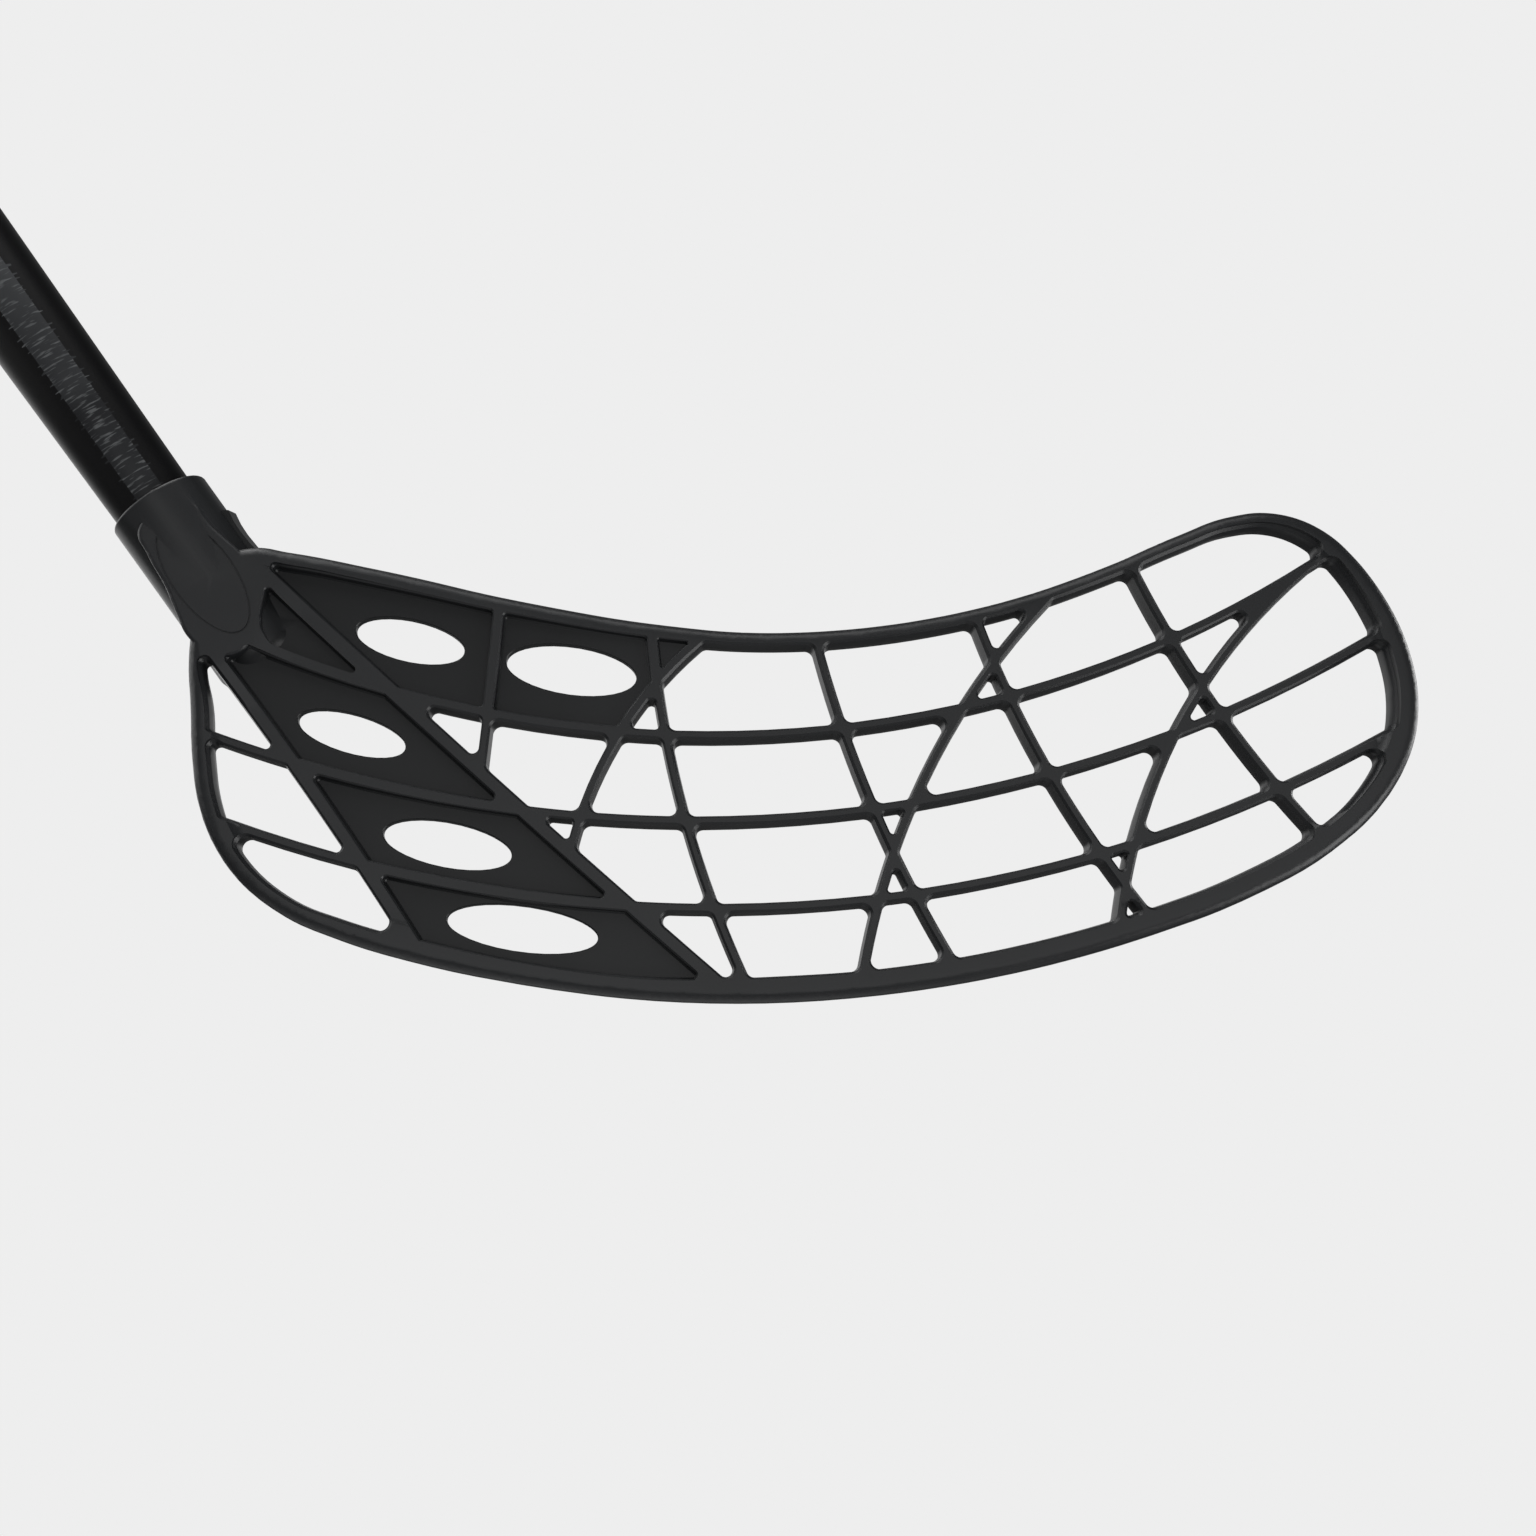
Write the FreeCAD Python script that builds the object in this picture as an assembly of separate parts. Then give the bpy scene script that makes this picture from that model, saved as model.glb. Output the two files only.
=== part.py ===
import FreeCAD, Part
import math
import os

from FreeCAD import Placement, Rotation, Vector

# Floorball stick: an open-lattice blade with a socket, glued and screwed to a
# tapered tube shaft that carries a wrapped grip and an end cap.
# The frame has +X from heel to toe, +Y away from the hitting face and +Z up.
# Its origin lies on the shaft's axis at the middle of the free grip.

# Blade plate, in millimetres; x runs from the heel and z from the lowest point
blade_length = 295.0
blade_height = 120.0
blade_thickness = 7.5
hook_radius = 1200.0
edge_round = 2.8
rim_width = 6.2
rib_width = 2.9
cross_rib_width = 2.9
panel_rib_reach = 2.75
panel_pocket_reach = 1.05
cell_corner = 1.8
cell_draft = 0.35
cell_lip = 0.5
pocket_draft = 0.15
pocket_lip = 0.25
web_thickness = 2.4
web_cove = 0.4
lattice_radius = 1600.0
lattice_stand = 0.45
lattice_cove = 4.0
lattice_edge_gap = 0.4

# How the blade stands under the shaft, in degrees and millimetres
lie_angle = 54.4
loft_angle = 12.5
yaw_angle = 3.0
mouth_reach = 150.4
mouth_rise = 64.3
mouth_setback = 4.0

# Socket tube of the blade
socket_outer_diameter = 25.2
socket_offset = 0.7
socket_length = 49.5
socket_depth = 42.5
socket_bore_diameter = 21.6
mouth_round = 0.8
socket_end_round = 5.0
shield_edge_round = 1.0
shield_blend_reach = 19.0
shield_blend_depth = 1.6
shield_blend_rise = 0.15
shield_blend_start = 0.4
fin_thickness = 6.0
fin_front = 3.4
oval_mark_length = 33.0
oval_mark_width = 15.0
oval_mark_line = 0.5
oval_mark_depth = 0.3

# Shaft
shaft_length = 960.0
shaft_lower_diameter = 20.3
shaft_upper_diameter = 26.0
shaft_wall = 1.6
shaft_taper_length = 211.0
glue_floor = 1.5

# Blade screws
screw_diameter = 3.0
screw_length = 12.0
screw_point_length = 2.5
screw_head_diameter = 6.4
screw_head_height = 2.0
screw_head_round = 0.8
screw_seat_depth = 0.6
screw_drive_width = 0.9
screw_drive_span = 3.6
screw_drive_depth = 1.1
upper_screw_depth = 13.0
lower_screw_depth = 31.0

# Grip, its finishing tape and the end cap
grip_length = 400.0
grip_thickness = 1.1
grip_lower_round = 0.2
finishing_tape_width = 22.0
finishing_tape_lap = 12.0
finishing_tape_thickness = 0.5
cap_height = 6.0
cap_crown_round = 3.5
cap_plug_length = 24.0
cap_plug_lead = 1.5
cap_inset = 0.4
# Part of the grip's thickness that is left where the tape presses it down
grip_lap_share = 0.40

# Clearance of pieces that touch, and overrun of cuts
fit_clearance = 0.1
cut_overrun = 0.6

# Outline of the blade: length share from the heel, height share from the
# lowest point, and the rim's width there as a share of the full rim
outline_shares = (
    (-0.003, 0.660, 0.58), (0.000, 0.590, 0.74), (0.004, 0.480, 0.76), (0.010, 0.396, 0.76),
    (0.022, 0.318, 0.75), (0.044, 0.240, 0.73), (0.081, 0.169, 0.72), (0.124, 0.124, 0.78),
    (0.194, 0.074, 0.86), (0.265, 0.039, 0.80), (0.372, 0.006, 0.82), (0.460, 0.000, 1.00),
    (0.553, 0.014, 1.00), (0.662, 0.055, 1.00), (0.773, 0.126, 1.00), (0.847, 0.191, 1.00),
    (0.921, 0.287, 1.00), (0.960, 0.368, 1.00), (0.981, 0.437, 1.00), (0.996, 0.520, 1.00),
    (1.001, 0.598, 1.00), (0.995, 0.724, 0.98), (0.977, 0.835, 0.92), (0.960, 0.901, 0.86),
    (0.942, 0.951, 0.80), (0.915, 0.992, 0.74), (0.888, 1.007, 0.70), (0.855, 0.998, 0.66),
    (0.812, 0.959, 0.64), (0.752, 0.896, 0.64), (0.676, 0.831, 0.64), (0.599, 0.787, 0.64),
    (0.522, 0.763, 0.65), (0.446, 0.758, 0.66), (0.371, 0.774, 0.68), (0.258, 0.819, 0.70),
    (0.147, 0.876, 0.72), (0.074, 0.907, 0.68), (0.042, 0.915, 0.70), (0.014, 0.890, 0.90),
    (0.000, 0.800, 0.70), (-0.003, 0.730, 0.50),
)

# Hook's flat point and the blade's reference height, as shares
hook_apex_share = 0.4644
reference_height_share = 0.475

# Shield over the socket: length and height shares
shield_shares = (
    (-0.031, 0.984), (-0.014, 1.005), (0.014, 0.945), (0.038, 0.890), (0.054, 0.836),
    (0.0525, 0.780), (0.050, 0.735), (0.040, 0.696), (0.020, 0.682), (-0.004, 0.722),
    (-0.014, 0.771), (-0.024, 0.825), (-0.038, 0.884), (-0.047, 0.938),
)

# Filled corner of the small pocket beside the shield: length and height shares
gusset_shares = (
    (0.036, 0.770), (0.050, 0.775), (0.0545, 0.741), (0.0615, 0.712), (0.072, 0.692),
    (0.055, 0.704), (0.038, 0.720),
)

# Ribs: start and end as length and height shares, then the bow of the arc as
# a share of its chord, positive to the left of the way from start to end.
# The panel's two ribs bow towards the pockets between them, where they are slimmer
long_rib_shares = (
    ((0.020, 0.741), (0.947, 0.926), -0.127),
    ((-0.002, 0.541), (0.984, 0.749), -0.113),
    ((0.010, 0.370), (0.990, 0.545), -0.110),
)
cross_rib_shares = (
    ((0.367, 0.788), (0.450, 0.008), -0.047),
    ((0.503, 0.762), (0.623, 0.025), -0.040),
    ((0.637, 0.808), (0.788, 0.108), -0.047),
    ((0.772, 0.900), (0.929, 0.275), -0.041),
    ((0.708, 0.842), (0.535, 0.008), -0.079),
)
# Cross ribs that end at the panel's toe-side rib, and the one that runs up
# into the highest long rib
panel_end_rib_shares = (
    ((0.243, 0.825), (0.229, 0.420), 0.004),
    ((0.432, 0.783), (0.301, 0.267), -0.096),
)
long_end_rib_shares = (
    ((0.932, 0.908), (0.745, 0.117), -0.099),
)
panel_rib_shares = (
    ((0.012, 0.712), (0.193, 0.085), 0.012),
    ((0.039, 0.882), (0.426, 0.022), -0.005),
)

# Field of the cells that a thin web closes
web_field_shares = (
    (0.000, 1.060), (0.415, 0.800), (0.365, 0.600), (0.175, 0.585), (0.220, 0.480),
    (0.285, 0.335), (0.355, 0.175), (0.430, 0.010), (0.150, 0.010), (0.165, 0.130),
    (0.080, 0.460), (0.020, 0.670),
)

# Windows in the webs: centre shares, half length and half height as shares of
# the blade's length and height, and tilt in degrees
window_shares = (
    (0.170, 0.732, 0.0450, 0.0440, -12.4),
    (0.302, 0.675, 0.0540, 0.0515, -8.2),
    (0.126, 0.537, 0.0445, 0.0395, -16.1),
    (0.205, 0.314, 0.0520, 0.0450, -11.3),
    (0.266, 0.147, 0.0605, 0.0450, -8.1),
)

# Fin behind the socket: shares of the socket's length down from the mouth,
# and of its outer radius out from the axis, on the toe side
fin_shares = (
    (0.22, 0.60), (0.225, 1.04), (0.24, 1.14), (0.30, 1.10), (0.36, 1.09), (0.44, 1.11), (0.52, 1.16),
    (0.66, 1.64), (0.73, 1.40), (0.66, 0.60),
)
oval_mark_shares = (0.0064, 0.845)
corner_limit_share = 0.36
# Corners of the pockets and of the heel's cells, as shares of a cell's corner,
# and how far from the heel those cells and the flush face round the shield reach
pocket_corner_share = 0.45
heel_corner_share = 0.50
heel_field_share = 0.10
# Slant of the web against the blade's middle, which it crosses at this share
web_slant_share = 0.018
web_level_share = 0.25
second_corner_share = 0.90
lip_rise_share = 0.50
smallest_opening = (0.25 * cell_corner) ** 2


def midpoint(a, b):
    return ((a[0] + b[0]) / 2, (a[1] + b[1]) / 2)


def arc_middle(a, b, angle):
    """Middle of the arc from a to b that leaves the chord at the angle."""
    middle = midpoint(a, b)
    rise = math.tan(angle / 2) / 2
    return (middle[0] - (b[1] - a[1]) * rise, middle[1] + (b[0] - a[0]) * rise)


def plane_vector(point, depth=0):
    """Point of the blade's plane, x along and z up, at a depth behind it."""
    return Vector(point[0], depth, point[1])


def turn_between(first, second):
    """Signed angle from the first direction to the second."""
    cross = first[0] * second[1] - first[1] * second[0]
    dot = first[0] * second[0] + first[1] * second[1]
    return math.atan2(cross, dot)


def unit(direction):
    size = math.hypot(direction[0], direction[1])
    return (direction[0] / size, direction[1] / size)


def loop_tangents(points):
    """Direction at each point of the circle through it and its neighbours."""
    tangents = []
    for index, point in enumerate(points):
        before = points[index - 1]
        after = points[(index + 1) % len(points)]
        incoming = (point[0] - before[0], point[1] - before[1])
        outgoing = (after[0] - point[0], after[1] - point[1])
        into = unit(incoming)
        out = unit(outgoing)
        long_in = math.hypot(*incoming)
        long_out = math.hypot(*outgoing)
        tangents.append(unit((into[0] * long_out + out[0] * long_in, into[1] * long_out + out[1] * long_in)))
    return tangents


def smooth_loop(points):
    """Closed wire of tangent arcs through the points, two between neighbours."""
    tangents = loop_tangents(points)
    edges = []
    for index, start in enumerate(points):
        following = (index + 1) % len(points)
        end = points[following]
        leave = tangents[index]
        arrive = tangents[following]
        span = (end[0] - start[0], end[1] - start[1])
        along = span[0] * (leave[0] + arrive[0]) + span[1] * (leave[1] + arrive[1])
        square = span[0] ** 2 + span[1] ** 2
        bend = 2 * (1 - leave[0] * arrive[0] - leave[1] * arrive[1])
        reach = square / (along + math.sqrt(along ** 2 + bend * square))
        joint = midpoint(
            (start[0] + reach * leave[0], start[1] + reach * leave[1]),
            (end[0] - reach * arrive[0], end[1] - reach * arrive[1]),
        )
        first_chord = (joint[0] - start[0], joint[1] - start[1])
        second_chord = (end[0] - joint[0], end[1] - joint[1])
        first_middle = arc_middle(start, joint, turn_between(leave, first_chord) * -1)
        second_middle = arc_middle(joint, end, turn_between(second_chord, arrive) * -1)
        for a, b, c in ((start, first_middle, joint), (joint, second_middle, end)):
            edges.append(Part.Arc(plane_vector(a), plane_vector(b), plane_vector(c)).toShape())
    return Part.Wire(edges)


def blade_point(share):
    return (share[0] * blade_length, share[1] * blade_height)


def outline_points(inset=0, rim_share=0):
    """Outline points, moved in by a length and by a share of the rim's width."""
    points = [blade_point(row) for row in outline_shares]
    moved = []
    for point, tangent, row in zip(points, loop_tangents(points), outline_shares):
        step = inset + rim_share * row[2] * rim_width
        moved.append((point[0] - tangent[1] * step, point[1] + tangent[0] * step))
    return moved


def rib_band(row, inward, outward):
    """Flat face along a rib's arc, from a reach inside the arc to one outside."""
    start = blade_point(row[0])
    end = blade_point(row[1])
    chord = math.hypot(end[0] - start[0], end[1] - start[1])
    middle = arc_middle(start, end, 2 * math.atan(2 * row[2]))
    half = midpoint(start, end)
    away = unit((middle[0] - half[0], middle[1] - half[1]))
    rise = abs(row[2]) * chord
    radius = (chord ** 2 / 4 + rise ** 2) / (2 * rise)
    centre = (middle[0] - away[0] * radius, middle[1] - away[1] * radius)
    rails = []
    for step in (-inward, outward):
        scale = 1 + step / radius
        rails.append([
            plane_vector((centre[0] + (p[0] - centre[0]) * scale, centre[1] + (p[1] - centre[1]) * scale))
            for p in (start, middle, end)
        ])
    inner, outer = rails
    edges = (
        Part.Arc(*inner).toShape(),
        Part.LineSegment(inner[2], outer[2]).toShape(),
        Part.Arc(*outer).toShape(),
        Part.LineSegment(outer[0], inner[0]).toShape(),
    )
    return Part.Face(Part.Wire(Part.__sortEdges__(edges)))


hook_apex = hook_apex_share * blade_length
cell_reach = blade_thickness / 2


def surface_depth(x, radius, middle_depth):
    """Depth at x of an upright cylinder hooked about the apex."""
    return middle_depth - radius + math.sqrt(radius ** 2 - (x - hook_apex) ** 2)


def front_depth(x):
    """Depth of the lattice's front: the rim's face or the flatter lattice face."""
    lattice_face = surface_depth(x, lattice_radius, -blade_thickness / 2 - lattice_stand)
    return max(rim_depth(x), lattice_face)


def middle_depth(x):
    return surface_depth(x, hook_radius, 0)


def rim_depth(x):
    return surface_depth(x, hook_radius - blade_thickness / 2, -blade_thickness / 2)


def web_depth(x):
    """Depth of the web's middle, which lies further back towards the heel."""
    return middle_depth(x) + web_slant_share * (web_level_share * blade_length - x)


def back_depth(x):
    return surface_depth(x, hook_radius + blade_thickness / 2, blade_thickness / 2)


def tangent_plane(depth_of, x, step):
    """Depth and slope at x of a surface, taken over a step to both sides."""
    slope = (depth_of(x + step) - depth_of(x - step)) / (2 * step)
    return x, depth_of(x), slope


def plane_depth(plane, point, level):
    """Depth of a point on a slanted plane, a level behind it."""
    x, depth, slope = plane
    return depth + slope * (point[0] - x) + level


def flat_points(edge, orientation_reversed):
    """Start, middle and end of a flat edge, in the wire's own direction."""
    first, last = edge.ParameterRange
    values = [edge.valueAt(first), edge.valueAt((first + last) / 2), edge.valueAt(last)]
    if orientation_reversed:
        values.reverse()
    return [(value.x, value.z) for value in values]


def ordered_sides(face):
    """Sides of a flat face, each as start, middle and end, in one round."""
    sides = []
    for edge in face.OuterWire.OrderedEdges:
        sides.append(flat_points(edge, edge.Orientation == "Reversed"))
    area = 0
    for start, middle, end in sides:
        area += start[0] * middle[1] - middle[0] * start[1]
        area += middle[0] * end[1] - end[0] * middle[1]
    if area < 0:
        sides = [side[::-1] for side in reversed(sides)]
    return sides


def side_normals(side):
    """Outward normals at the start, middle and end of a side."""
    start, middle, end = side
    chord = unit((end[0] - start[0], end[1] - start[1]))
    half_turn = turn_between(chord, unit((middle[0] - start[0], middle[1] - start[1])))
    normals = []
    for turn in (2 * half_turn, 0, -2 * half_turn):
        direction = (
            chord[0] * math.cos(turn) - chord[1] * math.sin(turn),
            chord[0] * math.sin(turn) + chord[1] * math.cos(turn),
        )
        normals.append((direction[1], -direction[0]))
    return normals


def widened_wire(sides, growth, plane, level):
    """Round of sides grown outwards, with arcs about the corners, on a plane."""
    rows = []
    for side in sides:
        normals = side_normals(side)
        grown = [(p[0] + n[0] * growth, p[1] + n[1] * growth) for p, n in zip(side, normals)]
        rows.append((normals, grown))
    rounds = []
    for index, (normals, grown) in enumerate(rows):
        next_normals, next_grown = rows[(index + 1) % len(rows)]
        if abs(turn_between(normals[2], next_normals[0])) < tangent_tolerance:
            grown[2] = next_grown[0] = midpoint(grown[2], next_grown[0])
            rounds.append(None)
            continue
        corner = sides[index][2]
        bisector = unit((normals[2][0] + next_normals[0][0], normals[2][1] + next_normals[0][1]))
        rounds.append((corner[0] + bisector[0] * growth, corner[1] + bisector[1] * growth))
    edges = []
    for index, (normals, grown) in enumerate(rows):
        edges.append(side_edge([plane_vector(p, plane_depth(plane, p, level)) for p in grown]))
        if rounds[index]:
            arc_points = (grown[2], rounds[index], rows[(index + 1) % len(rows)][1][0])
            vectors = [plane_vector(p, plane_depth(plane, p, level)) for p in arc_points]
            edges.append(Part.Arc(*vectors).toShape())
    return Part.Wire(edges)


tangent_tolerance = math.radians(0.1)
straight_tolerance = math.radians(0.05)


def side_edge(vectors):
    """Straight or round edge through a start, a middle and an end."""
    start, middle, end = vectors
    if (middle - start).getAngle(end - start) < straight_tolerance:
        return Part.LineSegment(start, end).toShape()
    return Part.Arc(start, middle, end).toShape()


def cell_sides(face, corner_share):
    """Sides of a cell drawn in by its corner radius, and that radius."""
    radius = corner_share * min(cell_corner, corner_limit_share * 2 * face.Area / face.Length)
    drawn_in = face.makeOffset2D(-radius)
    return ordered_sides(drawn_in.Faces[0]), radius


def open_cell_cutter(face, corner_share):
    """Drafted through-cut with bevelled lips on both faces."""
    sides, radius = cell_sides(face, corner_share)
    x = face.CenterOfMass.x
    front = tangent_plane(front_depth, x, cell_corner)
    middle = tangent_plane(middle_depth, x, cell_corner)
    back = tangent_plane(back_depth, x, cell_corner)
    rise = lip_rise_share * cell_lip
    flare = cell_draft + cell_lip + rise
    steps = (
        (front, -cell_reach, flare),
        (front, -rise, flare),
        (front, cell_lip, cell_draft),
        (middle, 0, 0),
        (back, -cell_lip, cell_draft),
        (back, rise, flare),
        (back, cell_reach, flare),
    )
    wires = [widened_wire(sides, radius + grow, plane, level) for plane, level, grow in steps]
    return Part.makeLoft(wires, True, True)


def web_pocket_cutters(face):
    """Recesses on both faces that leave a thin web in the middle."""
    sides, radius = cell_sides(face, pocket_corner_share)
    x = face.CenterOfMass.x
    rise = lip_rise_share * pocket_lip
    flare = pocket_draft + pocket_lip + rise
    middle = tangent_plane(web_depth, x, cell_corner)
    front = rim_depth if x < heel_field_share * blade_length else front_depth
    cutters = []
    for side, depth_of in ((-1, front), (1, back_depth)):
        outer = tangent_plane(depth_of, x, cell_corner)
        steps = (
            (outer, side * cell_reach, flare),
            (outer, side * rise, flare),
            (outer, -side * pocket_lip, pocket_draft),
            (middle, side * (web_thickness / 2 + web_cove), 0),
            (middle, side * web_thickness / 2, -min(web_cove, radius / 2)),
        )
        wires = [widened_wire(sides, radius + grow, plane, level) for plane, level, grow in steps]
        cutters.append(Part.makeLoft(wires, True, True))
    return cutters


def window_cutter(row):
    """Oval through-cut in a web, flared at both faces of the web."""
    centre = blade_point(row)
    half_length = row[2] * blade_length
    half_height = row[3] * blade_height
    plane = tangent_plane(web_depth, centre[0], cell_corner)
    tilt = math.radians(row[4])
    flare = cell_lip / 2
    reach = web_thickness / 2 + cut_overrun
    steps = (
        (-reach, flare + cut_overrun),
        (-web_thickness / 2 + flare, 0),
        (web_thickness / 2 - flare, 0),
        (reach, flare + cut_overrun),
    )
    wires = []
    for level, grow in steps:
        reach_x = half_length + grow
        reach_z = half_height + grow
        points = [
            (centre[0] + reach_x * math.cos(tilt), centre[1] + reach_x * math.sin(tilt)),
            (centre[0] - reach_z * math.sin(tilt), centre[1] + reach_z * math.cos(tilt)),
            centre,
        ]
        vectors = [plane_vector(point, plane_depth(plane, point, level)) for point in points]
        wires.append(Part.Wire(Part.Ellipse(*vectors).toShape()))
    return Part.makeLoft(wires, True, True)


def hooked_cylinder(radius, middle_depth_of_face):
    """Upright cylinder whose far wall is a hooked face of the blade."""
    base = Vector(hook_apex, middle_depth_of_face - radius, -blade_height)
    return Part.makeCylinder(radius, 3 * blade_height, base, Vector(0, 0, 1))


def hooked_slab():
    """Everything between the blade's hooked front and back faces."""
    back = hooked_cylinder(hook_radius + blade_thickness / 2, blade_thickness / 2)
    front = hooked_cylinder(hook_radius - blade_thickness / 2, -blade_thickness / 2)
    return back.cut(front)


def deep_prism(face):
    """Straight body of a flat face, deep enough to pass through the blade."""
    reach = blade_length / 4
    moved = face.copy()
    moved.translate(Vector(0, -reach, 0))
    return moved.extrude(Vector(0, 2 * reach, 0))


def rounded_plate(wire, slab, radius):
    """Hooked plate of an outline, with its front and back edges rounded."""
    plate = deep_prism(Part.Face(wire)).common(slab)
    solid = plate.Solids[0]
    long_faces = sorted(solid.Faces, key=lambda face: -face.Area)[:2]
    edges = [edge for face in long_faces for edge in face.OuterWire.Edges]
    return solid.makeFillet(radius, edges)


def shield_slope():
    """Sloping body round the shield, where the dish runs out to the shield's face."""
    face = Part.Face(smooth_loop([blade_point(row) for row in shield_shares]))
    sides = ordered_sides(face)
    plane = tangent_plane(rim_depth, face.CenterOfMass.x, cell_corner)
    steps = (
        (-blade_thickness, shield_blend_start),
        (-shield_blend_rise, shield_blend_start),
        (shield_blend_depth, shield_blend_start + shield_blend_reach),
    )
    return Part.makeLoft([widened_wire(sides, grow, plane, level) for level, grow in steps], True, True)


def lattice_dish():
    """Shallow cut that lets the lattice lie flatter than the rim at both ends."""
    face = Part.Face(smooth_loop(outline_points(-lattice_edge_gap, 1)))
    lattice_face = hooked_cylinder(lattice_radius, -blade_thickness / 2 - lattice_stand)
    cut = deep_prism(face).common(lattice_face).Solids[0]
    floor = max(cut.Faces, key=lambda side: side.CenterOfMass.y)
    return cut.makeFillet(lattice_cove, floor.OuterWire.Edges).cut(shield_slope())


def inside(point, polygon):
    """True where a point lies inside a polygon, by counting crossings."""
    found = False
    for index, b in enumerate(polygon):
        a = polygon[index - 1]
        if (a[1] > point[1]) != (b[1] > point[1]):
            crossing = a[0] + (b[0] - a[0]) * (point[1] - a[1]) / (b[1] - a[1])
            if point[0] < crossing:
                found = not found
    return found


def lattice_cells():
    """Flat faces between the rim, the ribs and the shield."""
    field = Part.Face(smooth_loop(outline_points(0, 1)))
    half = cross_rib_width / 2
    reach = blade_height / 4
    heel_side = rib_band(panel_rib_shares[1], 0, reach)
    upper_side = rib_band(long_rib_shares[0], reach, 0)
    bands = [rib_band(row, rib_width / 2, rib_width / 2) for row in long_rib_shares]
    bands += [rib_band(row, panel_rib_reach, panel_pocket_reach) for row in panel_rib_shares]
    bands += [rib_band(row, half, half) for row in cross_rib_shares]
    bands += [rib_band(row, half, half).cut(heel_side) for row in panel_end_rib_shares]
    bands += [rib_band(row, half, half).cut(upper_side) for row in long_end_rib_shares]
    for loop in (shield_shares, gusset_shares):
        bands.append(Part.Face(smooth_loop([blade_point(row) for row in loop])))
    faces = field.cut(bands).Faces
    return [face for face in faces if face.Area > smallest_opening]


def oval_mark_cutter():
    """Thin oval groove in the shield's face, along the socket."""
    centre = plane_vector(blade_point(oval_mark_shares))
    lie = math.radians(lie_angle)
    long_way = Vector(-math.cos(lie), 0, math.sin(lie))
    short_way = Vector(math.sin(lie), 0, math.cos(lie))
    ovals = []
    for inset in (0, oval_mark_line):
        major = centre + long_way * (oval_mark_length / 2 - inset)
        minor = centre + short_way * (oval_mark_width / 2 - inset)
        ovals.append(deep_prism(Part.Face(Part.Wire(Part.Ellipse(major, minor, centre).toShape()))))
    ring = ovals[0].cut(ovals[1])
    front_radius = hook_radius - blade_thickness / 2
    deep = hooked_cylinder(front_radius + oval_mark_depth, oval_mark_depth - blade_thickness / 2)
    return ring.common(deep)


def closed_cells(plate, faces):
    """Those of the cells whose middle still lies inside the plate."""
    found = []
    for face in faces:
        centre = face.CenterOfMass
        middle = Vector(centre.x, middle_depth(centre.x), centre.z)
        if plate.isInside(middle, fit_clearance, True):
            found.append(face)
    return found


def blade_plate():
    """Rim, lattice and webbed panel of the blade, with the shield."""
    slab = hooked_slab()
    plate = rounded_plate(smooth_loop(outline_points()), slab, edge_round)
    plate = plate.cut(lattice_dish())
    web_field = [blade_point(row) for row in web_field_shares]
    open_faces = []
    pockets = []
    for face in lattice_cells():
        centre = face.CenterOfMass
        if inside((centre.x, centre.z), web_field):
            pockets += web_pocket_cutters(face)
        else:
            open_faces.append(face)
    heel_reach = heel_field_share * blade_length
    shares = [heel_corner_share if face.CenterOfMass.x < heel_reach else 1 for face in open_faces]
    plate = plate.cut([open_cell_cutter(face, share) for face, share in zip(open_faces, shares)] + pockets)
    # A cell that the first cut left closed is cut with tighter corners
    again = [open_cell_cutter(face, second_corner_share) for face in closed_cells(plate, open_faces)]
    if again:
        plate = plate.cut(again)
    plate = plate.cut([window_cutter(row) for row in window_shares])
    shield = rounded_plate(smooth_loop([blade_point(row) for row in shield_shares]), slab, shield_edge_round)
    return plate.fuse(shield)


# Places along the shaft's axis, from the socket's mouth towards the butt end
shaft_foot = glue_floor - socket_depth
butt = shaft_foot + shaft_length
grip_foot = butt - grip_length
free_grip_foot = grip_foot + finishing_tape_lap
free_grip_middle = (free_grip_foot + butt) / 2
socket_radius = socket_outer_diameter / 2
bore_radius = socket_bore_diameter / 2
lower_radius = shaft_lower_diameter / 2
upper_radius = shaft_upper_diameter / 2
grip_radius = upper_radius + fit_clearance + grip_thickness
lap_radius = upper_radius + fit_clearance + grip_lap_share * grip_thickness
screw_seat = socket_radius - screw_seat_depth


def on_shaft(shape):
    """Piece drawn along the shaft's axis from the mouth, set in the frame."""
    turn = Rotation(Vector(0, 1, 0), lie_angle - 90)
    origin = turn.multVec(Vector(0, 0, -free_grip_middle))
    placed = shape.copy()
    placed.Placement = Placement(origin, turn).multiply(placed.Placement)
    return placed


def on_blade(shape):
    """Piece drawn in the blade's plane, set in the frame under the shaft."""
    turn = Rotation(Vector(0, 0, 1), yaw_angle).multiply(Rotation(Vector(1, 0, 0), -loft_angle))
    mouth = Rotation(Vector(0, 1, 0), lie_angle - 90).multVec(Vector(0, 0, -free_grip_middle))
    reference = mouth + Vector(mouth_reach, -mouth_setback, -mouth_rise)
    drawn_at = Vector(hook_apex, 0, reference_height_share * blade_height)
    placed = shape.copy()
    placed.Placement = Placement(reference - turn.multVec(drawn_at), turn).multiply(placed.Placement)
    return placed


def turned(profile):
    """Solid of revolution about the shaft's axis of a radius and height profile."""
    points = [Vector(radius, 0, height) for radius, height in profile]
    face = Part.Face(Part.makePolygon(points + points[:1]))
    return face.revolve(Vector(0, 0, 0), Vector(0, 0, 1), 360)


def crosswise(shape, height):
    """Piece drawn along +Z turned to point to the back, at a height."""
    placed = shape.copy()
    placed.Placement = Placement(Vector(0, 0, height), Rotation(Vector(1, 0, 0), -90))
    return placed


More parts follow.
